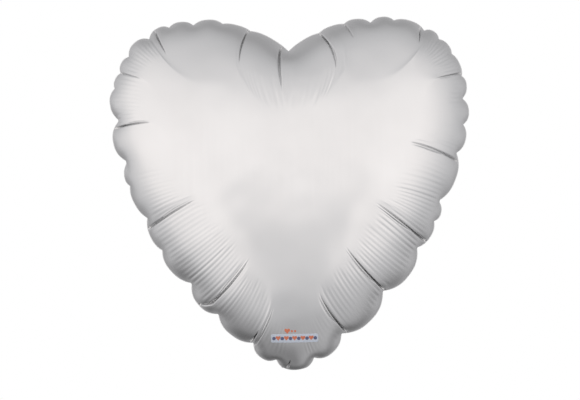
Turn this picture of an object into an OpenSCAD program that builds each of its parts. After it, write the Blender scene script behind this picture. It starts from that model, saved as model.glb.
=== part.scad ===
// Heart-shaped foil balloon, inflated, with its filling neck folded up behind the bottom lobe.
// Millimetres. X runs across the heart, +Y to the rear and +Z up. The origin is the middle of the
// fold at the neck's root, where a ribbon is tied.

/* [Heart] */
// Width of the empty heart, laid flat
flat_w = 457; // [400:1:500]
// Width when full, as a share of the flat width
full_share = 0.8; // [0.76:0.01:0.84]
// Thickness from front to rear when full
full_depth = 198; // [160:1:220]
// How far a puffed lobe stands out, as a share of its own width
lobe_rise = 0.055; // [0.02:0.005:0.08]
// Thickness that stands for the foil
foil = 0.8; // [0.5:0.1:1.2]

/* [Edge seal] */
// Width of the welded border
seal_w = 5; // [3:0.5:7]
// Thickness of the welded border
seal_t = 0.8; // [0.5:0.1:1]

/* [Neck] */
// Width of the filling neck
neck_w = 26; // [20:1:32]
// Length of the filling neck
neck_l = 50; // [40:1:60]
// Radius to which the folded neck curls
neck_curl = 75; // [60:5:100]
// Thickness of each neck ply
ply = 0.5; // [0.4:0.1:0.6]
// Width of the weld along each side of the neck
side_weld = 2.5; // [2:0.5:3]

/* [Valve] */
// Width of the valve's two films
valve_w = 20; // [16:1:20]
// Length of the valve inside the heart
valve_l = 100; // [60:5:120]
// Thickness of each valve film
film = 0.4; // [0.3:0.1:0.4]
// Gap between the two valve films
film_gap = 0.4; // [0.3:0.1:0.4]
// Length of the strip of release ink
ink_l = 34; // [20:1:40]

/* [Hidden] */

foil_colour = [0.80, 0.80, 0.81];
seal_colour = [0.70, 0.70, 0.72];
film_colour = [0.90, 0.91, 0.90];
ink_colour = [0.45, 0.62, 0.72];

drawn_w = 366;                              // full width at which the lists below are drawn
grow = flat_w * full_share / drawn_w;
half_depth = full_depth / 2;
fold_r = 0.9;                               // radius of the creased film at the neck's root
neck_start = fold_r + 0.3;                  // clear of the fold as the neck swings
valve_gap = 0.25;                           // between a valve film and the ply over it
ply_out = film + film_gap / 2 + valve_gap + ply;  // outer face of a ply, from the neck's middle
mouth_l = neck_l - 12;                      // the valve stops short of the neck's open end
valve_base = fold_r + 0.2;                  // foot of the valve inside the heart, over the fold
slot_h = 13;                                // height of the valve's way through the seam
seal_clear = 0.06;                          // between the panels' outline and the folded border
seal_front = 0.4;                           // how far the border reaches in front of the seam
heart_z = 3;                                // height of the heart's lowest lobe over the fold
crown = [0, heart_z + 194 * grow];          // where the full heart is thickest

// Smooth outline of the right half, from the cleft to the tip, as (x, z) over the lowest lobe.
drawn_knots = [[0, 321], [43, 344], [99, 352.5], [155, 330.5], [179.5, 266.5], [159, 178], [115, 95],
               [60, 37], [0, 1.5]];
knots = [for (p = drawn_knots) p * grow + [0, heart_z]];

// Notches between the puffed lobes: distance along each half from the cleft, then depth.
right_notches = [[36, 0.3], [63, 0.3], [90, 4.5], [114, 1], [147, 3], [165, 2.2], [185, 1.2],
                 [210, 1], [233, 5], [260, 3.4], [290, 4.4], [342, 5.9], [363, 2], [395, 5],
                 [452, 8.5], [513, 6.5], [551, 4.7]];
left_notches = [[44, 0.3], [73, 0.5], [103, 4], [128, 1.8], [152, 5], [181, 2.6], [200, 2.5],
                [217, 1], [250, 7.3], [294, 6.6], [318, 0.5], [355, 4], [391, 1.6], [436, 7.3],
                [478, 5.3], [524, 5.6], [554, 4.7]];

// How full the section is, by direction from the crown: a higher power is flatter in the middle.
fullness = [[-90, 2.2], [-75, 2.65], [-60, 2.9], [-25, 3.1], [0, 3], [20, 2.7], [50, 2.4],
            [75, 2.6], [90, 3.2]];

knot_steps = 16;                            // points on the outline between two knots
lobe_steps = 4;                             // points on the outline across one lobe
rings = 10;                                 // rings of points from the crown to the outline
near = 1.5;                                 // step along the outline that gives its direction
lobe_fade = 6;                              // a higher power keeps the lobes nearer the outline

function unit(v) = v / norm(v);
function knot_way(i) = i == 0 ? unit(knots[1] - knots[0])
                     : i == len(knots) - 1 ? [-1, 0]
                     : unit(knots[i + 1] - knots[i - 1]);
function hermite(a, way_a, b, way_b, t) = let (reach = norm(b - a))
    (2 * pow(t, 3) - 3 * pow(t, 2) + 1) * a + (pow(t, 3) - 2 * pow(t, 2) + t) * reach * way_a
    + (3 * pow(t, 2) - 2 * pow(t, 3)) * b + (pow(t, 3) - pow(t, 2)) * reach * way_b;

half_line = [for (i = [0 : len(knots) - 2]) for (j = [0 : knot_steps - 1])
                 hermite(knots[i], knot_way(i), knots[i + 1], knot_way(i + 1), j / knot_steps),
             knots[len(knots) - 1]];
run = [for (i = 0, s = 0; i < len(half_line);
            s = s + (i + 1 < len(half_line) ? norm(half_line[i + 1] - half_line[i]) : 0), i = i + 1) s];
half_l = run[len(run) - 1];
x_along = [for (i = [0 : len(run) - 1]) [run[i], half_line[i][0]]];
z_along = [for (i = [0 : len(run) - 1]) [run[i], half_line[i][1]]];

// The outline once round: 0 at the cleft, down the right half to the tip and up the left half.
function smooth_point(s) = s < 0 ? smooth_point(s + 2 * half_l)
    : s <= half_l ? [lookup(s, x_along), lookup(s, z_along)]
    : [-lookup(2 * half_l - s, x_along), lookup(2 * half_l - s, z_along)];
function outward(s) = let (way = unit(smooth_point(s + near) - smooth_point(s - near)))
    [-way[1], way[0]];

notches = concat([[0, 0]], right_notches * grow,
                 [for (i = [len(left_notches) - 1 : -1 : 0])
                      [2 * half_l - left_notches[i][0] * grow, left_notches[i][1] * grow]],
                 [[2 * half_l, 0]]);
function arch(t) = 1 - pow(abs(2 * t - 1), 2.5);
rim_s = [for (k = [0 : len(notches) - 2]) for (j = [0 : lobe_steps - 1])
             notches[k][0] + (notches[k + 1][0] - notches[k][0]) * j / lobe_steps];
rim_n = len(rim_s);
smooth_rim = [for (s = rim_s) smooth_point(s)];
puff = [for (k = [0 : len(notches) - 2]) for (j = [0 : lobe_steps - 1])
            let (a = notches[k], b = notches[k + 1], t = j / lobe_steps,
                 dip = a[1] + (b[1] - a[1]) * t,
                 rise = (a[1] + b[1]) / 2 + lobe_rise * (b[0] - a[0]))
            rise * arch(t) - dip];
rim = [for (i = [0 : rim_n - 1]) smooth_rim[i] + outward(rim_s[i]) * puff[i]];
function rim_out(i) = let (way = unit(rim[(i + 1) % rim_n] - rim[(i + rim_n - 1) % rim_n]))
    [-way[1], way[0]];

// One face of the heart, whose lobes fade towards the crown. Share is 0 at the crown and 1 at the
// outline, inset shrinks the face evenly, and side is -1 in front and 1 behind.
function face_point(i, share, inset, side) =
    let (smooth_ray = smooth_rim[i] - crown,
         ray = smooth_ray + (rim[i] - smooth_rim[i]) * pow(share, lobe_fade),
         spot = crown + unit(ray) * (norm(ray) - inset) * share,
         way = asin(smooth_ray[1] / norm(smooth_ray)),
         deep = (half_depth - inset) * sqrt(1 - pow(share, lookup(way, fullness))))
    [spot[0], side * deep, spot[1]];
shares = [for (r = [1 : rings]) r == rings ? 1 : sin(90 * r / rings)];

function face_points(inset, side) = concat([[crown[0], side * (half_depth - inset), crown[1]]],
    [for (r = [0 : rings - 1]) for (i = [0 : rim_n - 1]) face_point(i, shares[r], inset, side)]);
function at(r, i) = 1 + r * rim_n + i % rim_n;
face_tris = concat([for (i = [0 : rim_n - 1]) [0, at(0, i), at(0, i + 1)]],
    [for (r = [0 : rings - 2]) for (i = [0 : rim_n - 1]) each
         [[at(r, i), at(r + 1, i), at(r + 1, i + 1)], [at(r, i), at(r + 1, i + 1), at(r, i + 1)]]]);
function flipped(tris) = [for (f = tris) [f[2], f[1], f[0]]];
function shifted(tris, by) = [for (f = tris) f + [by, by, by]];

// A curved skin, closed by the flat ring where it meets the other panel.
module panel(side) {
    one_face = 1 + rings * rim_n;
    last = rings - 1;
    outer = face_tris;
    inner = shifted(flipped(face_tris), one_face);
    lip = [for (i = [0 : rim_n - 1]) each
               [[at(last, i), at(last, i) + one_face, at(last, i + 1) + one_face],
                [at(last, i), at(last, i + 1) + one_face, at(last, i + 1)]]];
    skin = concat(outer, inner, lip);
    polyhedron(concat(face_points(0, side), face_points(foil, side)),
               side < 0 ? skin : flipped(skin), convexity = 6);
}

// The slot in the seam that the valve comes out through, with room on every side.
module neck_slot() {
    slot_w = valve_w + 1;
    slot_t = 2 * film + film_gap + 0.2;
    translate([-slot_w / 2, -slot_t / 2, -heart_z]) cube([slot_w, slot_t, slot_h]);
}

module front_panel() {
    color(foil_colour) difference() {
        panel(-1);
        neck_slot();
    }
}

module rear_panel() {
    color(foil_colour) difference() {
        panel(1);
        neck_slot();
    }
}

// The welded border, folded to the rear round the outline and open where the neck comes out.
module edge_seal() {
    outer = seal_clear + seal_t;
    corners = [[seal_clear, -seal_front], [outer, -seal_front], [outer, seal_w], [seal_clear, seal_w]];
    points = [for (c = corners) for (i = [0 : rim_n - 1])
                  let (p = rim[i] + rim_out(i) * c[0]) [p[0], c[1], p[1]]];
    tris = [for (c = [0 : 3]) for (i = [0 : rim_n - 1])
                let (a = c * rim_n, b = (c + 1) % 4 * rim_n, j = (i + 1) % rim_n) each
                [[a + i, a + j, b + j], [a + i, b + j, b + i]]];
    gap_w = neck_w + 1;
    color(seal_colour) difference() {
        polyhedron(points, flipped(tris), convexity = 6);
        translate([-gap_w / 2, -seal_w, -heart_z]) cube([gap_w, 3 * seal_w, slot_h]);
    }
}

// The creased film at the root of the neck, on the line that the neck swings about.
module neck_fold() {
    color(foil_colour) rotate([0, 90, 0]) cylinder(r = fold_r, h = neck_w, center = true, $fn = 48);
}

// A strip inside the neck: low and high are heights across its thickness, start and end along it.
module neck_strip(low, high, left, right, start, end) {
    turn = 180 / PI / neck_curl;
    translate([0, 0, neck_curl]) rotate([-90 + start * turn, 0, 0]) rotate([90, 0, 90])
        rotate_extrude(angle = (end - start) * turn, $fn = 180)
            translate([neck_curl - high, left]) square([high - low, right - left]);
}

module neck_front_ply() {
    color(foil_colour) neck_strip(-ply_out, ply - ply_out, -neck_w / 2, neck_w / 2, neck_start, neck_l);
}

module neck_rear_ply() {
    color(foil_colour) neck_strip(ply_out - ply, ply_out, -neck_w / 2, neck_w / 2, neck_start, neck_l);
}

module neck_side_welds() {
    color(seal_colour) for (left = [-neck_w / 2, neck_w / 2 - side_weld])
        neck_strip(ply - ply_out, ply_out - ply, left, left + side_weld, neck_start, neck_l);
}

// The valve's outer end, between the plies of the neck. A nozzle goes in between its films.
module valve_mouth_front() {
    color(film_colour) neck_strip(-film_gap / 2 - film, -film_gap / 2, -valve_w / 2, valve_w / 2,
                                  neck_start, mouth_l);
}

module valve_mouth_rear() {
    color(film_colour) neck_strip(film_gap / 2, film_gap / 2 + film, -valve_w / 2, valve_w / 2,
                                  neck_start, mouth_l);
}

// The valve's inner end, which hangs up inside the heart and which the gas presses shut.
module valve_front_film() {
    color(film_colour) translate([-valve_w / 2, -film_gap / 2 - film, valve_base])
        cube([valve_w, film, valve_l]);
}

module valve_rear_film() {
    color(film_colour) translate([-valve_w / 2, film_gap / 2, valve_base])
        cube([valve_w, film, valve_l]);
}

module valve_side_welds() {
    color(film_colour) for (left = [-valve_w / 2, valve_w / 2 - side_weld])
        translate([left, -film_gap / 2, valve_base]) cube([side_weld, film_gap, valve_l]);
}

// Heat-proof ink on the front film, which keeps the films from welding together at the seam.
module valve_release_strip() {
    ink_w = valve_w - 2 * side_weld - 1;
    color(ink_colour) translate([-ink_w / 2, -film_gap / 2, valve_base]) cube([ink_w, film_gap / 2, ink_l]);
}

front_panel();
rear_panel();
edge_seal();
neck_fold();
valve_front_film();
valve_rear_film();
valve_side_welds();
valve_release_strip();
neck_front_ply();
neck_rear_ply();
neck_side_welds();
valve_mouth_front();
valve_mouth_rear();
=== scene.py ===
"""Looks of the heart-shaped foil balloon, built round its CAD frame.

Shapes are worked out in millimetres, in the part's frame, and made in metres: X across the heart, +Y to the
rear, +Z up, with the origin at the fold of the filling neck.
"""
import math
from functools import partial

import bmesh
import bpy
import numpy as np
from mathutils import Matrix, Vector
from mathutils.bvhtree import BVHTree


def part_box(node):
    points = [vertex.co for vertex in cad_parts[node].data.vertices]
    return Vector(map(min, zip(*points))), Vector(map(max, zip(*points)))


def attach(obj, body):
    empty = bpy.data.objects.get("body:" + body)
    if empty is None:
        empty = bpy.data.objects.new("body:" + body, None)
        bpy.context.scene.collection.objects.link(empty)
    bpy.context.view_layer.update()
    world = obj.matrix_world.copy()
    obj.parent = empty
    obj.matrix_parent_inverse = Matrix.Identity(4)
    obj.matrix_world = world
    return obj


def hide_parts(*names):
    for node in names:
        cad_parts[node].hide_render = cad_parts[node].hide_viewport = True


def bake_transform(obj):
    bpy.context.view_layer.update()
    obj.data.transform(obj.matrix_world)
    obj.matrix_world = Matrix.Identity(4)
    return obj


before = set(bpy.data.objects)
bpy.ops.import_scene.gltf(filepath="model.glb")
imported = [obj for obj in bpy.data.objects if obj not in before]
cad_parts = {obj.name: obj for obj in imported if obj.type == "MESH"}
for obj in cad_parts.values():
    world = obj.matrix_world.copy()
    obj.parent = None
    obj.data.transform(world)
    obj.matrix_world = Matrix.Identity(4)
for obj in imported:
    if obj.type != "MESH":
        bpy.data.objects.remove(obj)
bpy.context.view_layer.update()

MM = 0.001

# ------------------------------------------------------------------------------
# The heart's smooth outline, the same as the CAD model's
# ------------------------------------------------------------------------------

HEART_Z = 3.0                       # the lowest lobe, over the fold
CROWN = np.array([0.0, 197.0])      # where the full heart is thickest, as (x, z)
HALF_DEPTH = -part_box("front_panel")[0].y / MM

# Right half of the smooth outline, from the cleft to the tip, as (x, z)
KNOTS = np.array([(0, 321), (43, 344), (99, 352.5), (155, 330.5), (179.5, 266.5), (159, 178), (115, 95),
                  (60, 37), (0, 1.5)], float) + [0, HEART_Z]

# Notches between the puffed lobes: distance along each half from the cleft, then depth
RIGHT_NOTCHES = [(36, 0.3), (63, 0.3), (90, 4.5), (114, 1), (147, 3), (165, 2.2), (185, 1.2), (210, 1),
                 (233, 5), (260, 3.4), (290, 4.4), (342, 5.9), (363, 2), (395, 5), (452, 8.5), (513, 6.5),
                 (551, 4.7)]
LEFT_NOTCHES = [(44, 0.3), (73, 0.5), (103, 4), (128, 1.8), (152, 5), (181, 2.6), (200, 2.5), (217, 1),
                (250, 7.3), (294, 6.6), (318, 0.5), (355, 4), (391, 1.6), (436, 7.3), (478, 5.3),
                (524, 5.6), (554, 4.7)]
LOBE_RISE = 0.055                   # how far a lobe stands out, as a share of its width
LOBE_POWER, TIP_POWER = 2.5, 3.0    # powers of the lobes' arches: the lowest one, over the neck, is flatter


def unit(v):
    """The vectors v made one long."""
    return v / np.linalg.norm(v, axis=-1, keepdims=True)


def half_outline(steps=64):
    """Points of a smooth curve through the knots, with so many steps from each to the next."""
    ways = np.array([unit(KNOTS[1] - KNOTS[0])]
                    + [unit(KNOTS[i + 1] - KNOTS[i - 1]) for i in range(1, len(KNOTS) - 1)] + [(-1.0, 0.0)])
    t = np.linspace(0, 1, steps, endpoint=False)[:, None]
    parts = []
    for a, b, way_a, way_b in zip(KNOTS[:-1], KNOTS[1:], ways[:-1], ways[1:]):
        reach = np.linalg.norm(b - a)
        parts.append((2 * t**3 - 3 * t**2 + 1) * a + (t**3 - 2 * t**2 + t) * reach * way_a
                     + (3 * t**2 - 2 * t**3) * b + (t**3 - t**2) * reach * way_b)
    return np.vstack(parts + [KNOTS[-1:]])


HALF = half_outline()
HALF_RUN = np.r_[0, np.cumsum(np.linalg.norm(np.diff(HALF, axis=0), axis=1))]
HALF_L = HALF_RUN[-1]
LOOP_L = 2 * HALF_L


def outline(s):
    """Points of the smooth outline: s is 0 at the cleft and grows down the right half and up the left."""
    s = np.mod(s, LOOP_L)
    left = s > HALF_L
    h = np.where(left, LOOP_L - s, s)
    x = np.interp(h, HALF_RUN, HALF[:, 0])
    return np.stack([np.where(left, -x, x), np.interp(h, HALF_RUN, HALF[:, 1])], -1)


def outward(s, near=9.0):
    """Direction out of the heart and square to the outline, from the points that far to each side."""
    way = unit(outline(s + near) - outline(s - near))
    return np.stack([-way[..., 1], way[..., 0]], -1)


def at(half, s):
    """Distance round the loop of a place on the right or the left half, s from the cleft."""
    return s if half == "right" else LOOP_L - s


# ------------------------------------------------------------------------------
# The full heart's depth: a pillow's height function, bent to the profile of a round foil balloon
# ------------------------------------------------------------------------------

def solve_pillow(sources=220, points=900, stand_off=26.0, over_cleft=24):
    """Solves laplacian(f) = -1 with f = 0 on the outline, as a paraboloid plus logarithmic sources outside.
    Sources and points crowd towards the cleft, where the outline has a corner."""
    s = (np.arange(sources) + 0.5) * LOOP_L / sources
    over = np.geomspace(0.3, 30, over_cleft)
    spots = np.vstack([outline(s) + outward(s) * stand_off, outline(0.0) + np.c_[0 * over, over]])
    near = np.geomspace(0.05, 60, 200)
    edge = outline(np.r_[(np.arange(points) + 0.5) * LOOP_L / points, near, LOOP_L - near])
    logs = np.log(np.linalg.norm(edge[:, None] - spots[None], axis=-1))
    bowl = ((edge - CROWN) ** 2).sum(-1) / 4
    weight = np.linalg.lstsq(np.c_[logs, np.ones(len(edge))], bowl, rcond=1e-10)[0]
    return spots, weight


SOURCES, WEIGHTS = solve_pillow()
CHUNK = 20000                       # points worked out at a time


def pillow(p):
    """The height function and its slope at points p, as (f, slope)."""
    p = np.asarray(p, float)
    flat = p.reshape(-1, 2)
    f, slope = np.empty(len(flat)), np.empty_like(flat)
    for i in range(0, len(flat), CHUNK):
        part = flat[i : i + CHUNK]
        gap = part[:, None] - SOURCES[None]
        square = (gap**2).sum(-1)
        bowl = ((part - CROWN) ** 2).sum(-1) / 4
        f[i : i + CHUNK] = (np.log(square) / 2) @ WEIGHTS[:-1] + WEIGHTS[-1] - bowl
        slope[i : i + CHUNK] = np.einsum("ns,nsk->nk", WEIGHTS[:-1] / square, gap) - (part - CROWN) / 2
    return f.reshape(p.shape[:-1]), slope.reshape(p.shape)


# The highest value of the height function, which is on the axis
PEAK = pillow(np.stack(np.meshgrid([0.0], np.linspace(150, 240, 181)), -1))[0].max()


def round_profile(steps=2001):
    """A round foil balloon's half thickness, as a share, by root = sqrt(1 - radius), and its slope."""
    root = np.linspace(0, 1, steps)
    radius = 1 - root**2
    rate = 2 * radius**2 / np.sqrt((1 + radius) * (1 + radius**2))
    high = np.r_[0, np.cumsum((rate[1:] + rate[:-1]) / 2) * root[1]]
    return root, high / high[-1], rate / high[-1]


PROFILE_ROOT, PROFILE, PROFILE_RATE = round_profile()


def depth(p):
    """Half thickness of the full heart at points p, and the front face's outward direction there."""
    f, slope = pillow(p)
    f = np.clip(f / PEAK, 1e-9, 1.0)
    radius = np.sqrt(np.maximum(1 - f, 0))
    root = np.sqrt(1 - radius)
    deep = HALF_DEPTH * np.interp(root, PROFILE_ROOT, PROFILE)
    # d(deep)/df, which has no limit at the outline, so the face's direction is divided by it
    rate = HALF_DEPTH * np.interp(root, PROFILE_ROOT, PROFILE_RATE) / np.maximum(4 * root * radius, 1e-6)
    face = np.stack([-slope[..., 0] / PEAK, -1 / rate, -slope[..., 1] / PEAK], -1)
    return deep, unit(face)


# ------------------------------------------------------------------------------
# Ribs: curves over the face that leave the outline square to it and end at the crown
# ------------------------------------------------------------------------------

def rib_way(s):
    """Direction in which the rib at s sets out."""
    return -outward(s, 14.0)


def off_axis(curve, s, side=3.0):
    """Sizes of the curve's x a little to both sides of s, added up, so that ribs on the axis keep in step."""
    return np.abs(curve(s - side)[..., :1]) + np.abs(curve(s + side)[..., :1])


def rib_points(s, share):
    """Points (x, z) of the rib that starts at s, at that share of the way to the crown."""
    start = outline(s)
    reach = np.linalg.norm(CROWN - start, axis=-1, keepdims=True)
    # how far it keeps its first direction, which is less where it would cross the axis
    away = np.minimum(0.38 * reach, 0.8 * off_axis(outline, s) / np.maximum(off_axis(rib_way, s), 0.03) + 12)
    first = start + rib_way(s) * away
    second = CROWN + (start - CROWN) * 0.4
    t = share[..., None]
    return (1 - t) ** 3 * start + 3 * (1 - t) ** 2 * t * first + 3 * (1 - t) * t**2 * second + t**3 * CROWN


# The ribs that are measured, and the shares of the way at which they are, closer together at the seam
RIB_S = np.linspace(0, LOOP_L, 289)
RIB_SHARE = np.linspace(0, 1, 161) ** 2


def measure_ribs():
    """How far each rib has run over the face, at each share of the way to the crown."""
    p = rib_points(*np.meshgrid(RIB_S, RIB_SHARE, indexing="ij"))
    deep = depth(p)[0]
    deep[:, 0] = 0
    steps = np.diff(np.concatenate([p, deep[..., None]], -1), axis=1)
    return np.c_[np.zeros(len(RIB_S)), np.cumsum(np.linalg.norm(steps, axis=-1), axis=1)]


RIB_RUN = measure_ribs()
RIB_L = RIB_RUN[:, -1]


def rib_share(run):
    """Share of the way along each rib at which it has run so far from the seam. run has one value a rib."""
    return np.array([np.interp(r, along, RIB_SHARE) for r, along in zip(run, RIB_RUN)])


# ------------------------------------------------------------------------------
# Relief of the film: puffed lobes, deep creases and fine pleats, all in place by distance round the loop
# and by run, which is the distance over the face from the seam
# ------------------------------------------------------------------------------

def lobe_edges():
    """Notches in order round the loop, as places and depths. The cleft counts as one of no depth."""
    left = [(LOOP_L - s, d) for s, d in reversed(LEFT_NOTCHES)]
    return np.array([(0.0, 0.0)] + RIGHT_NOTCHES + left + [(LOOP_L, 0.0)], float).T


NOTCH_S, NOTCH_D = lobe_edges()


def puff(s):
    """How far the seam stands out of the smooth outline: an arch over each lobe and a dip at each notch."""
    s = np.mod(s, LOOP_L)
    k = np.clip(np.searchsorted(NOTCH_S, s, side="right") - 1, 0, len(NOTCH_S) - 2)
    width = NOTCH_S[k + 1] - NOTCH_S[k]
    t = (s - NOTCH_S[k]) / width
    dip = NOTCH_D[k] + (NOTCH_D[k + 1] - NOTCH_D[k]) * t
    at_tip = np.abs(NOTCH_S[k] + width / 2 - HALF_L) < 10
    rise = (NOTCH_D[k] + NOTCH_D[k + 1]) / 2 + LOBE_RISE * width
    return rise * (1 - np.abs(2 * t - 1) ** np.where(at_tip, TIP_POWER, LOBE_POWER)) - dip


PUFF_STEPS = 4096
PUFF_S = np.arange(PUFF_STEPS) * LOOP_L / PUFF_STEPS
PUFF_WAVES = np.fft.rfft(puff(PUFF_S))
PUFF_FREQUENCY = 2 * np.pi * np.fft.rfftfreq(PUFF_STEPS, LOOP_L / PUFF_STEPS)


def softened_puff(s, run, sharp=3.0, blurring=0.30, reach=62.0):
    """The lobes at that run. After their sharp start they blur more and more, and fade over their reach."""
    blur = blurring * max(run - sharp, 0.0)
    waves = PUFF_WAVES * np.exp(-((PUFF_FREQUENCY * blur) ** 2) / 2)
    lobes = np.interp(s, PUFF_S, np.fft.irfft(waves, PUFF_STEPS), period=LOOP_L)
    return lobes * math.exp(-((run / reach) ** 2))


def smooth(t):
    """Steps from 0 to 1 as t does, level at both ends."""
    t = np.clip(t, 0, 1)
    return t * t * (3 - 2 * t)


def gap_to(s, centre):
    """Signed distance round the loop."""
    return np.mod(s - centre + LOOP_L / 2, LOOP_L) - LOOP_L / 2


# Deep creases of the front face: half, place, run of the inner end, drift of that end round the loop,
# depth, the distance to a second groove beside it, 0 for none, and how far it hooks aside at the seam
FRONT_CREASES = [
    ("left", 8, 104, -2, 3.5, 0, 0), ("left", 46, 84, 5, 2.8, 0, 0), ("left", 143, 62, 0, 2.4, 0, 0),
    ("left", 200, 62, -3, 1.6, 0, 0), ("left", 258, 84, -6, 3.3, 3.2, 0), ("left", 365, 108, -9, 2.8, 3.2, 0),
    ("left", 465, 119, 7, 3.2, 4.4, -7.0), ("left", 521, 54, 0, 3.4, 0, 0), ("left", 526, 94, 0, 0.8, 3.0, 0),
    ("left", 567, 30, 3, 3.0, 0, 0), ("right", 508, 100, 4, 3.0, 3.8, 0),
    ("right", 450, 118, -1, 3.4, 4.6, 0), ("right", 385, 116, -16, 3.0, 4.6, 0),
    ("right", 298, 104, -17, 3.0, 4.2, 0), ("right", 207, 66, -5, 2.2, 3.2, 0),
    ("right", 142, 46, 6, 3.4, 0, 0), ("right", 63, 52, 5, 2.0, 0, 0), ("right", 36, 94, 12, 3.0, 2.6, 0),
]

# Zones of fine pleats on the front face: half, from, to, run where they start and end, depth
FRONT_PLEATS = [
    ("left", 0, 44, 102, 130, 0.8), ("right", 0, 38, 102, 132, 0.8), ("right", 38, 56, 76, 108, 0.16),
    ("left", 150, 198, 22, 66, 0.34), ("left", 205, 256, 24, 76, 0.42), ("left", 262, 300, 30, 62, 0.12),
    ("left", 312, 362, 50, 104, 0.18), ("left", 370, 462, 34, 124, 0.36), ("left", 472, 519, 44, 114, 0.24),
    ("left", 529, 560, 30, 88, 0.15), ("right", 516, 562, 30, 90, 0.15), ("right", 455, 506, 34, 114, 0.48),
    ("right", 391, 446, 36, 120, 0.60), ("right", 304, 381, 38, 110, 0.36), ("right", 262, 293, 34, 86, 0.26),
    ("right", 212, 256, 22, 58, 0.34), ("right", 150, 204, 22, 62, 0.34),
]
PLEAT_PITCH = 4.8

# Big lobes of the front face between its creases, in order round the loop: the side where each starts, as
# half and place, the run to its arch at that side and in its middle, and how far it drops in its middle
FRONT_LOBES = [
    ("right", 2, 92, 118, 1.7), ("right", 49, 86, 115, 2.0), ("right", 147, 64, 82, 1.2),
    ("right", 208, 58, 94, 1.5), ("right", 292, 98, 112, 1.6), ("right", 376, 108, 124, 1.8),
    ("right", 453, 108, 116, 1.6), ("right", 513, 86, 88, 1.2), ("left", 521, 86, 114, 1.6),
    ("left", 471, 108, 122, 2.3), ("left", 356, 104, 110, 1.2), ("left", 258, 80, 86, 1.2),
    ("left", 200, 58, 68, 1.2), ("left", 151, 66, 114, 2.0), ("left", 51, 88, 116, 1.7),
]


def rear_creases(rng, deepest=3.2):
    """The rear face's creases start at the notches deeper than that, which both faces share."""
    creases = []
    for s, notch in zip(NOTCH_S, NOTCH_D):
        if notch > deepest:
            creases.append(("right" if s < HALF_L else "left", min(s, LOOP_L - s) + rng.uniform(-1.5, 1.5),
                            rng.uniform(62, 116), rng.uniform(-10, 10), rng.uniform(2.4, 3.6),
                            rng.choice([-1, 1]) * rng.uniform(2.8, 4.2), 0))
    return creases


def rear_lobes(creases, rng):
    """One lobe from each crease of the rear face to the next."""
    return [(half, place, rng.uniform(60, 90), rng.uniform(92, 120), rng.uniform(1.2, 2.8))
            for half, place, *_ in creases]


def rear_pleats(rng):
    """Like the front face's, but for the three zones at the cleft."""
    return [(half, lo + rng.uniform(-3, 3), hi + rng.uniform(-3, 3), start + rng.uniform(-6, 6),
             end + rng.uniform(-12, 6), deep * rng.uniform(0.7, 1.1))
            for half, lo, hi, start, end, deep in FRONT_PLEATS[3:]]


def drift(s, run, creases, spread=26):
    """How far the ribs sway round the loop, so that they follow the creases. Short creases bend early."""
    total = 0.0 * s
    for half, place, reach, sway, *_ in creases:
        sway = sway if half == "right" else -sway
        bend = min(run / reach, 1.0) ** (2.5 if reach > 30 else 1.2)
        total = total + sway * bend * np.exp(-((gap_to(s, at(half, place)) / min(spread, reach)) ** 2))
    return total


# Section of a crease, as shares of its depth in the table and as half widths
FOLD, FOLD_WIDTH = 3.3, 0.50
WIDE_FROM = 3.3                     # depth in the table from which a fold gets wider
HOLLOW, HOLLOW_WIDTH = 0.18, 4.0
SECOND_FOLD, RIDGE, RIDGE_WIDTH = 0.6, 0.46, 0.36
HOOK_FULL, HOOK_OVER = 8, 36        # runs up to which a hook is full, and at which it is over


def crease_relief(s, run, creases):
    """A narrow fold along each crease, which parts in two for its inner half, with a raised ridge between."""
    total = np.zeros_like(s)
    for half, place, reach, _, deep, twin, hook in creases:
        t = run / reach
        if t.min() >= 1:
            continue
        t = np.minimum(t, 1)
        hooked = np.clip((HOOK_OVER - run) / (HOOK_OVER - HOOK_FULL), 0, 1)
        x = gap_to(s, at(half, place) + (hook if half == "right" else -hook) * hooked)
        # opens fast at the seam, then slowly
        opening = 0.6 * smooth(run / min(5, reach / 3)) + 0.4 * smooth(run / min(26, reach / 2))
        along = opening * (1 - t**3)
        width = (FOLD_WIDTH - 0.18 * t) * max(1, deep / WIDE_FROM)
        total -= FOLD * deep * along * np.exp(-np.abs(x) / width)
        total -= HOLLOW * deep * along * np.exp(-((x / (HOLLOW_WIDTH + 2 * t)) ** 2))
        if twin:
            side = twin * smooth((t - 0.3) / 0.5) * (1 - 0.25 * t)
            late = smooth((t - 0.42) / 0.22) * (1 - t**5)
            total -= SECOND_FOLD * deep * late * np.exp(-np.abs(x - side) / (0.8 * width))
            total += RIDGE * deep * late * np.exp(-(((x - side / 2) / (RIDGE_WIDTH * abs(twin))) ** 2))
    return total


def lobe_relief(s, run, lobes, squareness=2.6, soft=2.2):
    """Each big lobe falls away from the smooth middle of the face along an arch, then straightens."""
    starts = np.array([at(half, place) for half, place, *_ in lobes])
    order = np.argsort(starts)
    ends, middle, drop = np.array([lobe[2:] for lobe in lobes], float)[order].T
    shared = (drop + np.roll(drop, 1)) / 2
    edges = np.r_[starts[order], starts[order][0] + LOOP_L]
    s = edges[0] + np.mod(s - edges[0], LOOP_L)
    k = np.clip(np.searchsorted(edges, s, side="right") - 1, 0, len(lobes) - 1)
    n = (k + 1) % len(lobes)
    t = (s - edges[k]) / (edges[k + 1] - edges[k])
    full = np.sqrt(np.clip(1 - np.abs(2 * t - 1) ** squareness, 0, 1))
    side = ends[k] + (ends[n] - ends[k]) * t
    arch = side + (middle[k] - side) * full
    fall = shared[k] + (shared[n] - shared[k]) * t
    fall = fall + (drop[k] - fall) * smooth(full)
    u = np.clip(soft * np.logaddexp(0, (arch - run) / soft) / arch, 0, 1)
    return -4 * fall * u * (1 - u)


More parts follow.
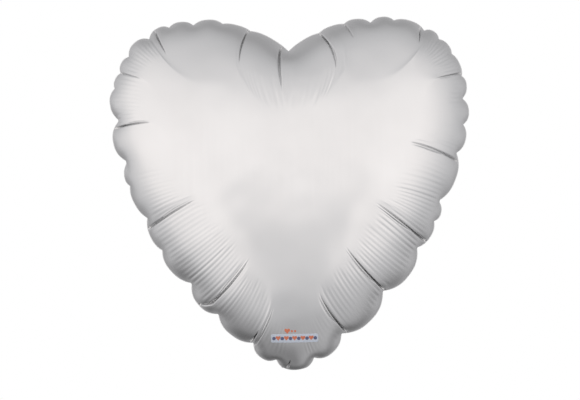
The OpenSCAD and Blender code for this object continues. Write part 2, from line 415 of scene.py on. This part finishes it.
def pleat_lines(zones, rng):
    """Every pleat of every zone: place round the loop, start, end, depth and half width."""
    lines = []
    for half, lo, hi, start, end, deep in zones:
        s = lo
        while s < hi:
            middle = 1 - abs(2 * (s - lo) / (hi - lo) - 1)
            strength = deep * rng.uniform(0.8, 1.15) * (0.7 + 0.3 * middle**0.5)
            lines.append((at(half, s), start + rng.uniform(-5, 6),
                          end - 6 * (1 - middle) + rng.uniform(-6, 4), strength,
                          PLEAT_PITCH * rng.uniform(0.28, 0.33)))
            s += PLEAT_PITCH * rng.uniform(0.92, 1.08)
    return lines


def pleat_relief(s, run, lines, early=14, rising=26, ending=16):
    """Shallow round grooves, which rise from a little before their start and die away before their end."""
    total = np.zeros_like(s)
    for place, start, end, deep, width in lines:
        if run.max() < start - early or run.min() > end:
            continue
        inner = 1 - smooth((run - end + ending) / ending)
        along = smooth((run - start + early) / rising) * inner
        total -= deep * along * np.exp(-((gap_to(s, place) / (width * (0.7 + 0.3 * inner))) ** 2))
    return total


def crinkle(p, rng, waves=46, longest=110.0, shortest=22.0, high=0.16):
    """Slow unevenness of the film, as a sum of waves over the face."""
    total = np.zeros(p.shape[:-1])
    for _ in range(waves):
        length = longest * (shortest / longest) ** rng.random()
        turn = rng.uniform(0, 2 * math.pi)
        k = 2 * math.pi / length
        total += (length / longest) * np.sin(k * (math.cos(turn) * p[..., 0] + math.sin(turn) * p[..., 1])
                                             + rng.uniform(0, 2 * math.pi))
    return high * total * math.sqrt(2 / waves) * 2


# ------------------------------------------------------------------------------
# Meshes
# ------------------------------------------------------------------------------

COLUMNS = 1536                      # round the seam; rings nearer the crown have a half, a quarter and so on
FINE_END = 128.0                    # run to which every column goes


def column_places(creases, crowd=2.6, reach=5.5, hook_crowd=2.0, hook_reach=4.5):
    """Places of the columns round the loop, closer together at the deep creases and where those hook to."""
    s = np.linspace(0, LOOP_L, 12001)
    density = np.ones_like(s)
    for half, place, *_, hook in creases:
        density += crowd * np.exp(-((gap_to(s, at(half, place)) / reach) ** 4))
        if hook:
            density += hook_crowd * np.exp(-((gap_to(s, at(half, place + hook)) / hook_reach) ** 4))
    total = np.r_[0, np.cumsum((density[1:] + density[:-1]) / 2)]
    return np.interp(np.arange(COLUMNS) / COLUMNS * total[-1], total, s)


def ring_plan():
    """Rings from the seam inwards, as (run, share of the rest of the way, one column in how many)."""
    runs = [0, 0.6, 1.3, 2.1, 3, 4, 5.2, 6.6, 8.2, 10, 12, 14, 16, 18, 20]
    rings = [(r, 0.0, 1) for r in runs + list(np.linspace(20, FINE_END, 41)[1:])]
    share, step, every = 0.0, 0.02, 2
    for last in (0.13, 0.3, 0.5, 0.7, 0.86, 0.97):
        while share + step <= last + 1e-9:
            share += step
            rings.append((FINE_END, share, every))
        every, step = every * 2, step * 1.35
    return rings


def face_rings(columns, creases, pleats, lobes, seed, side):
    """Points of one face, ring by ring. side is -1 in front and 1 behind."""
    rng = np.random.default_rng(seed)
    lines = pleat_lines(pleats, rng)
    rings = []
    for run, share, every in ring_plan():
        s = columns[::every]
        ribs = run + share * (RIB_L - FINE_END)
        swayed = s + drift(s, run, creases)
        spot = np.mod(swayed, LOOP_L)
        p = rib_points(swayed, np.interp(spot, RIB_S, rib_share(ribs)))
        runs = np.interp(spot, RIB_S, ribs)
        deep, face = depth(p)
        if run == 0:
            deep = 0 * deep
            way = outward(s)
            face = np.stack([way[:, 0], 0 * s, way[:, 1]], -1)
        lift = softened_puff(s, run) + crease_relief(s, runs, creases) + lobe_relief(s, runs, lobes)
        lift += pleat_relief(s, runs, lines)
        lift += crinkle(p, np.random.default_rng(seed + 1)) * smooth(runs / 40)
        point = np.stack([p[:, 0], -deep, p[:, 1]], -1) + face * lift[:, None]
        if run == 0:
            point[:, 1] = 0
        rings.append(point * [1, -side, 1])
    return rings


def skin_faces(sizes):
    """Triangles and quads between rings of those sizes, where a ring may have half as many as the last."""
    faces, start = [], 0
    for outer, inner in zip(sizes[:-1], sizes[1:]):
        j = np.arange(inner)
        k = (j + 1) % inner
        if outer == inner:
            faces += np.stack([start + j, start + k, start + outer + k, start + outer + j], -1).tolist()
        else:
            a, m, b = start + 2 * j, start + 2 * j + 1, start + (2 * j + 2) % outer
            c, d = start + outer + j, start + outer + k
            faces += np.concatenate([np.stack([a, m, c], -1), np.stack([m, d, c], -1),
                                     np.stack([m, b, d], -1)]).tolist()
        start += outer
    j = np.arange(sizes[-1])
    faces += np.stack([start + j, start + (j + 1) % sizes[-1], 0 * j + start + sizes[-1]], -1).tolist()
    return faces


def make_mesh(name, points, faces, material):
    mesh = bpy.data.meshes.new(name)
    mesh.from_pydata((np.asarray(points) * MM).tolist(), [], faces)
    mesh.update()
    mesh.polygons.foreach_set("use_smooth", [True] * len(mesh.polygons))
    mesh.materials.append(material)
    piece = bpy.data.objects.new(name, mesh)
    bpy.context.scene.collection.objects.link(piece)
    return piece


def foil_face(name, creases, pleats, lobes, seed, side, material, columns):
    rings = face_rings(columns, creases, pleats, lobes, seed, side)
    middle = rings[-1].mean(0)
    middle[1] = side * HALF_DEPTH
    faces = skin_faces([len(r) for r in rings])
    if side < 0:                    # so that the faces point outwards in front too
        faces = [corners[::-1] for corners in faces]
    return make_mesh(name, np.vstack(rings + [middle[None]]), faces, material)


def face_outwards(piece):
    """Turns the faces of a closed piece outwards."""
    whole = bmesh.new()
    whole.from_mesh(piece.data)
    bmesh.ops.recalc_face_normals(whole, faces=whole.faces)
    whole.to_mesh(piece.data)
    whole.free()
    return piece


def swept(name, parts, material):
    """A piece of closed parts. Each goes through rings of points, an array (rings, points round, 3), with
    both ends capped by faces between each point and the one facing it."""
    points, faces, base = [], [], 0
    for rings in parts:
        n, m = rings.shape[:2]
        i, j = np.meshgrid(np.arange(n - 1), np.arange(m), indexing="ij")
        k = (j + 1) % m
        skin = np.stack([i * m + j, i * m + k, (i + 1) * m + k, (i + 1) * m + j], -1).reshape(-1, 4)
        faces += (base + skin).tolist()
        for start in (base, base + (n - 1) * m):
            for j in range((m - 1) // 2):
                cap = [start + j, start + j + 1, start + m - 2 - j, start + m - 1 - j]
                faces.append(cap if cap[1] != cap[2] else [cap[0], cap[1], cap[3]])
        points.append(rings.reshape(-1, 3))
        base += n * m
    return face_outwards(make_mesh(name, np.vstack(points), faces, material))


HEM_GAP = 8.5                       # half of the way that the border leaves open for the neck
# The border's section, turned round to the rear behind the seam: outwards, to the rear, share of the ripple
HEM_SECTION = np.array([(-0.15, -0.3, 0), (0.35, -0.3, 0), (0.55, 0.3, 0), (0.60, 1.4, 0.1), (0.58, 2.4, 0.3),
                        (0.52, 3.4, 0.6), (0.42, 4.4, 1), (0.20, 4.5, 1), (0.28, 3.4, 0.6), (0.30, 2.4, 0.3),
                        (0.25, 1.4, 0.1), (0.10, 0.6, 0), (-0.30, 0.5, 0)])


def seam_hem(material, columns=3200, pitch=5.2, seed=21):
    """The welded border, which the seam's pull has turned to the rear and rippled along its free edge."""
    rng = np.random.default_rng(seed)
    s = np.linspace(HALF_L + HEM_GAP, HALF_L + LOOP_L - HEM_GAP, columns)
    slow = sum(rng.uniform(0.4, 1) * np.sin(2 * math.pi * s / length + rng.uniform(0, 6.28))
               for length in (17.0, 29.0, 47.0, 83.0))
    ripple = (0.16 + 0.06 * slow) * np.sin(2 * math.pi * s / pitch + 1.8 * slow)
    rim = outline(s) + outward(s) * softened_puff(s, 0)[:, None]
    out, back, share = HEM_SECTION.T
    end = smooth((s - s[0]) / 4) * smooth((s[-1] - s) / 4)
    off = (out[None] + share[None] * ripple[:, None]) * (0.2 + 0.8 * end[:, None])
    flat = rim[:, None] + outward(s)[:, None] * off[..., None]
    depths = back[None] + 0.25 * share[None] * slow[:, None]
    return swept("seam_hem", [np.stack([flat[..., 0], depths, flat[..., 1]], -1)], material)


# ------------------------------------------------------------------------------
# The filling neck and the valve: thin strips by place across, u, and place along, a, which is below zero up
# inside the heart and above zero down the neck. The film bunches up at the fold.
# ------------------------------------------------------------------------------

NECK_L, NECK_CURL = 50.0, 75.0      # the neck's length, and the radius to which it curls up
VALVE_HALF, VALVE_L, MOUTH_L = 10.0, 100.0, 38.0
BEND_R = 1.6                        # radius of the bend from the heart into the neck
ROOT_Z, ROOT_DROP = 4.0, 46         # height of the neck at the bend, and the length over which it goes
ROOT_SHARE = 0.55                   # width at the bend, as a share of the flat width
BEND = BEND_R * math.pi / 4         # half of the bend's length
OPEN_HALF = 11.4                    # half of the way between the neck's side welds


def neck_line(a):
    """Middle of the neck and valve at a, and the direction through them, towards the rear ply."""
    turn = np.clip((a + BEND) / BEND_R, 0, math.pi / 2)
    past = np.maximum(a - BEND, 0) / NECK_CURL
    over = np.maximum(-a - BEND, 0)
    y = BEND_R * (1 - np.cos(turn)) + NECK_CURL * np.sin(past)
    z = ROOT_Z * (1 - smooth(past * NECK_CURL / ROOT_DROP)) + BEND_R * (1 - np.sin(turn)) + over
    z = z + NECK_CURL * (1 - np.cos(past))
    lean = turn + past
    return np.stack([0 * a, y, z], -1), np.stack([0 * a, np.cos(lean), np.sin(lean)], -1)


def neck_share(a):
    """Width that the film keeps at a, as a share of its flat width."""
    return 1 - (1 - ROOT_SHARE) * (1 - smooth(np.where(a > 0, a / 20, -a / 16)))


def neck_ripple(u, a):
    """Gathers at the bend and a slow wave towards the mouth, the same for every layer."""
    return (0.30 * np.sin(2 * math.pi * u / 5.2 + 0.8) * np.exp(-((a / 8) ** 2))
            + 0.16 * np.sin(2 * math.pi * u / 8.7 + 2.6) * np.exp(-(((a - 12) / 9) ** 2))
            + 0.8 * np.sin(2 * math.pi * u / 31 + 0.4) * smooth((a - 16) / 34)
            + 0.5 * np.sin(2 * math.pi * a / 21 + 1.0) * smooth((a - 8) / 20))


def strip(start, end, left, right, low, high, across, along):
    """Rings of a closed thin strip between the heights low and high, which are functions of u and a."""
    places = np.linspace(start, end, along + 1), np.linspace(left, right, across + 1)
    a, u = np.meshgrid(*places, indexing="ij")
    middle, through = neck_line(a)
    middle[..., 0] = u * neck_share(a)
    layers = [middle + through * (height(u, a) + neck_ripple(u, a))[..., None] for height in (low, high)]
    return np.concatenate([layers[0], layers[1][:, ::-1]], axis=1)


def level(height):
    """The same height everywhere."""
    return lambda u, a: height + 0 * u


def ply_height(u, a):
    """Inner face of the rear ply: over the valve, down to the weld at each side, and open at the mouth."""
    swell = 0.30 * smooth(a / 16) * np.clip(1 - (u / 11.0) ** 2, 0, 1)
    mouth = 1.5 * smooth((a - 30) / 20) * np.clip(1 - (u / OPEN_HALF) ** 2, 0, 1) ** 1.5
    return 0.08 + 0.37 * smooth((OPEN_HALF - np.abs(u)) / 1.3) + swell + mouth


def crimped(side):
    """A weld's lower or upper face, with the fine teeth of the welding bar and thinner at its free edge."""
    return lambda u, a: side * (0.34 + 0.05 * np.sin(2 * math.pi * a / 1.25)
                                - 0.10 * smooth((np.abs(u) - 12.6) / 0.7))


def root_height(side):
    """Lower or upper face of the neck's root, which closes round the films at the fold."""
    return lambda u, a: side * (0.34 + 0.42 * smooth((11.9 - np.abs(u)) / 1.5))


# ------------------------------------------------------------------------------
# The printed badge: a small plate with a row of plain hearts and dots, laid on the front foil
# ------------------------------------------------------------------------------

BADGE = (1.0, 36.6, 47.0, 8.6)      # middle of the plate, as x and z, its width and its height
ROW_PITCH, ROW_HEART, ROW_DOT = 4.1, 4.8, 3.5


def plate_edges(x, half=BADGE[2] / 2, high=BADGE[3] / 2, corner=1.6):
    """Foot and top of a rectangle with round corners, at each place across it."""
    into = np.maximum(np.abs(x) - half + corner, 0)
    top = high - corner + np.sqrt(np.maximum(corner**2 - into**2, 0))
    return -top, top


def disc_edges(x, size):
    """Foot and top of a round dot."""
    top = np.sqrt(np.maximum(size**2 / 4 - x**2, 0))
    return -top, top


def heart_edges(x, size):
    """Foot and top of a heart, that size across."""
    share = np.minimum(np.abs(x) / size * 4, 2)
    return (np.arccos(1 - share) - math.pi + 1) * size / 4, (np.sqrt(1 - (share - 1) ** 2) + 1) * size / 4


def badge_shapes(lift):
    """Each shape of the badge: its edges as a function of x, half its width, its middle, ink and lift."""
    x0, z0, width = BADGE[:3]
    shapes = [(plate_edges, width / 2, (x0, z0), 0, lift)]
    for k in range(-5, 6):
        edges, size = (heart_edges, ROW_HEART) if k % 2 == 0 else (disc_edges, ROW_DOT)
        shapes.append((partial(edges, size=size), size / 2, (x0 + k * ROW_PITCH, z0), 1 + k % 2, 2.5 * lift))
    above = ((heart_edges, 5.6, -7.2, 7.2), (disc_edges, 2.2, -2.6, 7.4), (disc_edges, 2.2, 0.6, 7.4))
    for edges, size, x, z in above:
        shapes.append((partial(edges, size=size), size / 2, (x0 + x, z0 + z), 1, lift))
    return shapes


def print_badge(on, inks, lift=0.09, sunk=0.04, step=0.3, from_y=-400.0):
    """Closed thin shapes laid on the foil by casting rays back onto it from the front."""
    surface = BVHTree.FromObject(on, bpy.context.evaluated_depsgraph_get())
    parts, inked = [], []
    for edges, half, middle, ink, high in badge_shapes(lift):
        x = half * np.sin(np.linspace(-1.5, 1.5, max(24, round(2 * half / step))))
        foot, top = edges(x)
        share = np.linspace(0, 1, max(12, round((top - foot).max() / step)))
        flat = np.stack([x[:, None] + 0 * share, foot[:, None] + (top - foot)[:, None] * share], -1) + middle
        starts = [Vector((across, from_y, up)) * MM for across, up in flat.reshape(-1, 2)]
        found = [surface.ray_cast(start, Vector((0, 1, 0)))[:2] for start in starts]
        spots, ways = np.array(found).transpose(1, 0, 2)
        spots = spots.reshape(flat.shape[:2] + (3,)) / MM
        way = unit(ways.mean(0))
        parts.append(np.concatenate([spots + way * high, (spots - way * sunk)[:, ::-1]], axis=1))
        inked += [ink] * (2 * len(share) * (len(x) - 1) + 2 * (len(share) - 1))
    piece = swept("print_badge", parts, inks[0])
    for ink in inks[1:]:
        piece.data.materials.append(ink)
    piece.data.polygons.foreach_set("material_index", inked)
    return piece


# ------------------------------------------------------------------------------
# Materials
# ------------------------------------------------------------------------------

def new_material(name):
    """A new material, with its tree of nodes, its shader and its object coordinates."""
    material = bpy.data.materials.new(name)
    material.use_nodes = True
    tree = material.node_tree
    place = tree.nodes.new("ShaderNodeTexCoord").outputs["Object"]
    return material, tree, tree.nodes["Principled BSDF"], place


def noise(tree, coordinates, scale, detail=2.0, roughness=0.5, stretch=None):
    """A noise of that scale, in patches to the metre, or of another scale along each axis."""
    if stretch:
        mapping = tree.nodes.new("ShaderNodeMapping")
        mapping.inputs["Scale"].default_value = stretch
        tree.links.new(coordinates, mapping.inputs["Vector"])
        coordinates = mapping.outputs["Vector"]
    node = tree.nodes.new("ShaderNodeTexNoise")
    node.inputs["Scale"].default_value = scale
    node.inputs["Detail"].default_value = detail
    node.inputs["Roughness"].default_value = roughness
    tree.links.new(coordinates, node.inputs["Vector"])
    return node.outputs["Fac"]


def mapped(tree, value, low, high, from_low=0.3, from_high=0.7):
    """The value, drawn out to lie from low to high. The noises' own range is about 0.3 to 0.7."""
    node = tree.nodes.new("ShaderNodeMapRange")
    node.inputs["From Min"].default_value = from_low
    node.inputs["From Max"].default_value = from_high
    node.inputs["To Min"].default_value = low
    node.inputs["To Max"].default_value = high
    tree.links.new(value, node.inputs["Value"])
    return node.outputs["Result"]


def two_tones(tree, factor, first, second):
    node = tree.nodes.new("ShaderNodeMix")
    node.data_type = "RGBA"
    node.inputs["A"].default_value = (*first, 1)
    node.inputs["B"].default_value = (*second, 1)
    tree.links.new(factor, node.inputs["Factor"])
    return node.outputs["Result"]


def uneven(tree, shader, tone, light, dark, wear, rough):
    """Gives the shader two tones by one noise, and a range of roughness by another."""
    tree.links.new(two_tones(tree, mapped(tree, tone, 0, 1), light, dark), shader.inputs["Base Color"])
    tree.links.new(mapped(tree, wear, *rough), shader.inputs["Roughness"])


def bumpy(tree, shader, height, strength, deep=0.0002):
    bump = tree.nodes.new("ShaderNodeBump")
    bump.inputs["Strength"].default_value = strength
    bump.inputs["Distance"].default_value = deep
    tree.links.new(height, bump.inputs["Height"])
    tree.links.new(bump.outputs["Normal"], shader.inputs["Normal"])


def foil_material(name, light=(0.81, 0.81, 0.81), dark=(0.77, 0.77, 0.77), rough=(0.22, 0.25)):
    """Satin metallised film: a fine matt grain, faint roll marks from its making, and slow unevenness."""
    material, tree, shader, place = new_material(name)
    slow = noise(tree, place, 14.0, 3.0)
    marks = noise(tree, place, 1.0, 3.0, 0.6, stretch=(420.0, 30.0, 9.0))
    shader.inputs["Metallic"].default_value = 1.0
    uneven(tree, shader, slow, light, dark, marks, rough)
    bumpy(tree, shader, noise(tree, place, 1700.0), 0.05)
    return material


def edge_material(name, light=(0.74, 0.74, 0.75), dark=(0.64, 0.64, 0.65), rough=(0.34, 0.46)):
    """Welded foil: duller than the panels, with the fine grain that the welding bar leaves."""
    material, tree, shader, place = new_material(name)
    slow = noise(tree, place, 60.0, 3.0)
    shader.inputs["Metallic"].default_value = 1.0
    uneven(tree, shader, slow, light, dark, slow, rough)
    bumpy(tree, shader, noise(tree, place, 900.0, 1.0), 0.3)
    return material


def film_material(name, clear=(0.86, 0.88, 0.88), milky=(0.94, 0.95, 0.95), rough=(0.18, 0.42)):
    """Clear polyethylene, milky where it has creased."""
    material, tree, shader, place = new_material(name)
    cloud = noise(tree, place, 220.0, 4.0, 0.6, stretch=(1.0, 1.0, 0.25))
    uneven(tree, shader, cloud, clear, milky, cloud, rough)
    shader.inputs["Transmission Weight"].default_value = 0.6
    shader.inputs["IOR"].default_value = 1.4
    return material


def ink_material(name, light, dark, metallic=0.0, rough=(0.35, 0.5)):
    """Printed ink over foil: a little of the foil's shine, and uneven where the ink is thin."""
    material, tree, shader, place = new_material(name)
    patches = noise(tree, place, 500.0, 3.0, 0.6)
    uneven(tree, shader, patches, light, dark, patches, rough)
    shader.inputs["Metallic"].default_value = metallic
    return material


FOIL = foil_material("satin_foil")
EDGE = edge_material("welded_edge")
FILM = film_material("valve_film")
RELEASE = ink_material("release_ink", (0.42, 0.58, 0.68), (0.34, 0.50, 0.62))
PLATE = ink_material("badge_plate", (0.70, 0.76, 0.86), (0.64, 0.70, 0.80), 0.4)
SLATE = ink_material("badge_slate", (0.13, 0.15, 0.26), (0.10, 0.11, 0.20))
CORAL = ink_material("badge_coral", (0.72, 0.22, 0.12), (0.60, 0.17, 0.09))


# ------------------------------------------------------------------------------
# The balloon
# ------------------------------------------------------------------------------

FRONT_SEED, REAR_SEED, REAR_CREASE_SEED = 3, 7, 11
PLY_START, PLY_HALF, PLY_THICK = 1.2, 12.8, 0.2
NECK_WELD, NECK_WELD_LEFTS = 2.2, (-13.3, 11.1)         # width of the welds, and where each starts
SHEET_INSIDE, SHEET_OUTSIDE = 0.12, 0.24                # faces of the valve's films, from its middle
VALVE_END, MOUTH_START = -0.6, 1.4  # where the valve's films stop on either side of the fold
VALVE_WELD, WELD_FACE = 2.5, 0.11
INK_START, INK_END, INK_HALF, INK_FACES = -35.0, -1.1, 7.0, (-0.11, -0.04)
ROOT_END, ROOT_HALF = 2.6, 13.4

rear_rng = np.random.default_rng(REAR_CREASE_SEED)
REAR_CREASES, REAR_PLEATS = rear_creases(rear_rng), rear_pleats(rear_rng)
REAR_LOBES = rear_lobes(REAR_CREASES, rear_rng)
places = column_places(FRONT_CREASES + REAR_CREASES)
front_foil = foil_face("front_foil", FRONT_CREASES, FRONT_PLEATS, FRONT_LOBES, FRONT_SEED, -1, FOIL, places)
rear_foil = foil_face("rear_foil", REAR_CREASES, REAR_PLEATS, REAR_LOBES, REAR_SEED, 1, FOIL, places)
hem = seam_hem(EDGE)
badge = print_badge(front_foil, (PLATE, CORAL, SLATE))


def neck_ply(name, side):
    """One ply of the neck. side is -1 in front and 1 behind."""
    low, high = sorted((0.0, side * PLY_THICK))
    return swept(name, [strip(PLY_START, NECK_L, -PLY_HALF, PLY_HALF,
                              lambda u, a: side * ply_height(u, a) + low,
                              lambda u, a: side * ply_height(u, a) + high, across=72, along=130)], FOIL)


def valve_sheet(name, start, end, side):
    """One film of the valve, in front of its middle where side is -1 and behind it where side is 1."""
    low, high = sorted((side * SHEET_INSIDE, side * SHEET_OUTSIDE))
    return swept(name, [strip(start, end, -VALVE_HALF, VALVE_HALF, level(low), level(high),
                              across=60, along=80)], FILM)


neck_rear = neck_ply("neck_rear_foil", 1)
neck_front = neck_ply("neck_front_foil", -1)
neck_welds = swept("neck_welds", [strip(PLY_START, NECK_L, left, left + NECK_WELD, crimped(-1), crimped(1),
                                        across=10, along=320) for left in NECK_WELD_LEFTS], EDGE)
neck_root = swept("neck_root", [strip(-ROOT_END, ROOT_END, -ROOT_HALF, ROOT_HALF, root_height(-1),
                                      root_height(1), across=108, along=20)], FOIL)
valve_front = valve_sheet("valve_front_sheet", -VALVE_L, VALVE_END, -1)
valve_rear = valve_sheet("valve_rear_sheet", -VALVE_L, VALVE_END, 1)
mouth_front = valve_sheet("valve_mouth_front_sheet", MOUTH_START, MOUTH_L, -1)
mouth_rear = valve_sheet("valve_mouth_rear_sheet", MOUTH_START, MOUTH_L, 1)
valve_welds = swept("valve_welds", [strip(-VALVE_L, VALVE_END, left, left + VALVE_WELD, level(-WELD_FACE),
                                          level(WELD_FACE), across=10, along=90)
                                    for left in (-VALVE_HALF, VALVE_HALF - VALVE_WELD)], FILM)
release = swept("valve_release_ink", [strip(INK_START, INK_END, -INK_HALF, INK_HALF, level(INK_FACES[0]),
                                            level(INK_FACES[1]), across=40, along=40)], RELEASE)

for piece, body, slot, nodes in (
        (front_foil, "heart", "satin_foil", ["front_panel"]),
        (rear_foil, "heart", "satin_foil", ["rear_panel"]),
        (hem, "heart", "welded_edge", ["edge_seal"]), (badge, "heart", "printed_ink", []),
        (neck_front, "neck", "satin_foil", ["neck_front_ply"]),
        (neck_rear, "neck", "satin_foil", ["neck_rear_ply"]),
        (neck_welds, "neck", "welded_edge", ["neck_side_welds"]),
        (valve_front, "heart", "valve_film", ["valve_front_film"]),
        (valve_rear, "heart", "valve_film", ["valve_rear_film"]),
        (valve_welds, "heart", "valve_film", ["valve_side_welds"]),
        (release, "heart", "printed_ink", ["valve_release_strip"]),
        (mouth_front, "neck", "valve_film", ["valve_mouth_front"]),
        (mouth_rear, "neck", "valve_film", ["valve_mouth_rear"])):
    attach(piece, body)
    if nodes:
        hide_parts(*nodes)
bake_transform(neck_root)
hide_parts("neck_fold")


# ------------------------------------------------------------------------------
# Studio and camera
# ------------------------------------------------------------------------------

BRIGHTNESS = 1.09
COOL, WARM = (1.0, 0.995, 1.015), (1.035, 1.0, 0.99)    # tints of the studio's dim and bright parts


def ramp(tree, value, stops):
    """A smooth grey curve through (position, brightness) stops."""
    node = tree.nodes.new("ShaderNodeFloatCurve")
    curve = node.mapping.curves[0]
    while len(curve.points) < len(stops):
        curve.points.new(0.5, 0.5)
    for point, (x, y) in zip(curve.points, stops):
        point.location = (x, y)
        point.handle_type = "AUTO_CLAMPED"
    node.mapping.update()
    tree.links.new(value, node.inputs["Value"])
    return node.outputs["Value"]


def maths(tree, operation, *values):
    """A calculation with plain numbers and other nodes' outputs."""
    node = tree.nodes.new("ShaderNodeMath")
    node.operation = operation
    for socket, value in zip(node.inputs, values):
        if isinstance(value, (int, float)):
            socket.default_value = value
        else:
            tree.links.new(value, socket)
    return node.outputs[0]


def studio_world():
    """White behind for the camera. For everything else a soft studio by azimuth from the camera and by
    elevation: a broad light front and left, dimmer to the right, behind, overhead and below, and a darker
    strip where the photographer stands."""
    world = bpy.data.worlds.new("studio")
    bpy.context.scene.world = world
    world.use_nodes = True
    tree = world.node_tree
    tree.nodes.clear()
    plus, minus, times = (partial(maths, tree, operation) for operation in ("ADD", "SUBTRACT", "MULTIPLY"))
    way = tree.nodes.new("ShaderNodeSeparateXYZ")
    tree.links.new(tree.nodes.new("ShaderNodeTexCoord").outputs["Generated"], way.inputs[0])
    x, y, z = way.outputs
    azimuth = plus(times(maths(tree, "ARCTAN2", x, times(y, -1.0)), 0.5 / math.pi), 0.5)
    elevation = plus(times(maths(tree, "ARCSINE", z), 1 / math.pi), 0.5)

    def azimuths(pairs):
        return ramp(tree, azimuth, [((a + 180) / 360, b) for a, b in pairs])

    def elevations(pairs):
        return ramp(tree, elevation, [((a + 90) / 180, b) for a, b in pairs])

    front = elevations([(-90, 0.42), (-75, 0.46), (-60, 0.55), (-48, 0.66), (-38, 0.79), (-28, 0.88),
                        (-15, 0.98), (-5, 1.0), (5, 0.97), (25, 0.92), (42, 0.825), (55, 0.73), (65, 0.68),
                        (75, 0.645), (90, 0.60)])
    shade = azimuths([(-180, 0.57), (-165, 0.54), (-150, 0.48), (-130, 0.36), (-110, 0.18), (-90, 0.02),
                      (0, 0.0), (60, 0.0), (72, 0.04), (82, 0.11), (92, 0.20), (110, 0.34), (130, 0.46),
                      (150, 0.54), (180, 0.58)])
    share = elevations([(-90, 0.0), (-56, 0.0), (-32, 1.0), (40, 1.0), (60, 0.65), (75, 0.28), (90, 0.0)])
    shade_low = azimuths([(-180, 0.50), (-150, 0.50), (-130, 0.45), (-110, 0.32), (-90, 0.16), (-70, 0.06),
                          (-50, 0.0), (50, 0.0), (70, 0.05), (90, 0.10), (110, 0.16), (130, 0.22),
                          (150, 0.32), (180, 0.50)])
    share_low = elevations([(-90, 0.5), (-75, 0.9), (-56, 1.1), (-37, 0.6), (-25, 0.3), (-10, 0), (90, 0)])
    behind = azimuths([(-180, 0.16), (-155, 0.18), (-128, 0), (135, 0), (160, 0.10), (180, 0.16)])
    under = elevations([(-90, 0), (-40, 0.2), (-22, 0.6), (-8, 0.8), (3, 0), (90, 0)])
    viewer = azimuths([(-180, 0), (-35, 0), (-20, 0.45), (-7, 0.8), (7, 0.8), (20, 0.6), (40, 0), (180, 0)])
    low = elevations([(-90, 0), (-50, 0.08), (-32, 0.22), (-14, 0.30), (-3, 0.12), (4, 0), (90, 0)])
    high = elevations([(-90, 0), (42, 0), (60, 0.06), (75, 0.10), (90, 0.10)])
    gleam = azimuths([(-180, 0), (-115, 0), (-80, 0.7), (-55, 1), (-38, 0.4), (-28, 0), (180, 0)])
    below = elevations([(-90, 0), (-75, 0.02), (-60, 0.08), (-45, 0.10), (-33, 0.07), (-18, 0.02), (-5, 0),
                        (90, 0)])
    dim = plus(times(shade, share), times(viewer, low))
    dim = plus(dim, times(shade_low, share_low))
    dim = plus(dim, times(behind, under))
    dim = minus(dim, times(viewer, high))
    dim = minus(dim, times(gleam, below))
    strength = times(times(front, minus(1.0, dim)), BRIGHTNESS)
    glow = tree.nodes.new("ShaderNodeBackground")
    tint = two_tones(tree, mapped(tree, strength, 0, 1, 0.6, 1.05), COOL, WARM)
    tree.links.new(tint, glow.inputs["Color"])
    tree.links.new(strength, glow.inputs["Strength"])
    white = tree.nodes.new("ShaderNodeBackground")
    white.inputs["Color"].default_value = (1, 1, 1, 1)
    mix = tree.nodes.new("ShaderNodeMixShader")
    tree.links.new(tree.nodes.new("ShaderNodeLightPath").outputs["Is Camera Ray"], mix.inputs[0])
    tree.links.new(glow.outputs[0], mix.inputs[1])
    tree.links.new(white.outputs[0], mix.inputs[2])
    tree.links.new(mix.outputs[0], tree.nodes.new("ShaderNodeOutputWorld").inputs["Surface"])


def studio_floor(height=-330.0, radius=1600.0, clear=350.0, corners=96):
    """A pale floor below the balloon, which fades out towards its edge."""
    material, tree, shader, place = new_material("studio_floor")
    wear = noise(tree, place, 2.5, 4.0)
    uneven(tree, shader, wear, (0.81, 0.81, 0.81), (0.79, 0.79, 0.79), wear, (0.74, 0.84))
    far = tree.nodes.new("ShaderNodeVectorMath")
    far.operation = "LENGTH"
    tree.links.new(place, far.inputs[0])
    fade = mapped(tree, far.outputs["Value"], 1.0, 0.0, clear * MM, radius * MM)
    tree.links.new(fade, shader.inputs["Alpha"])
    turns = np.arange(corners) * 2 * math.pi / corners
    rim = np.stack([radius * np.cos(turns), radius * np.sin(turns), 0 * turns], -1)
    floor = make_mesh("floor", rim, [list(range(corners))], material)
    floor.location.z = height * MM
    floor.visible_glossy = False    # the foil mirrors the studio's own dim underside instead


def studio_camera(distance=3000.0, width=586.5, aim=(-1.2, 174.0), roll=math.radians(1.0)):
    """A camera level in front of the heart, with that width of view at its middle."""
    camera = bpy.data.cameras.new("camera")
    camera.lens = camera.sensor_width * distance / width
    camera.clip_end = 50.0
    holder = bpy.data.objects.new("camera", camera)
    bpy.context.scene.collection.objects.link(holder)
    holder.location = Vector((aim[0], -distance, aim[1])) * MM
    holder.rotation_euler = (math.pi / 2, roll, 0)
    bpy.context.scene.camera = holder


studio_world()
studio_floor()
studio_camera()
bpy.context.scene.view_settings.view_transform = "Standard"
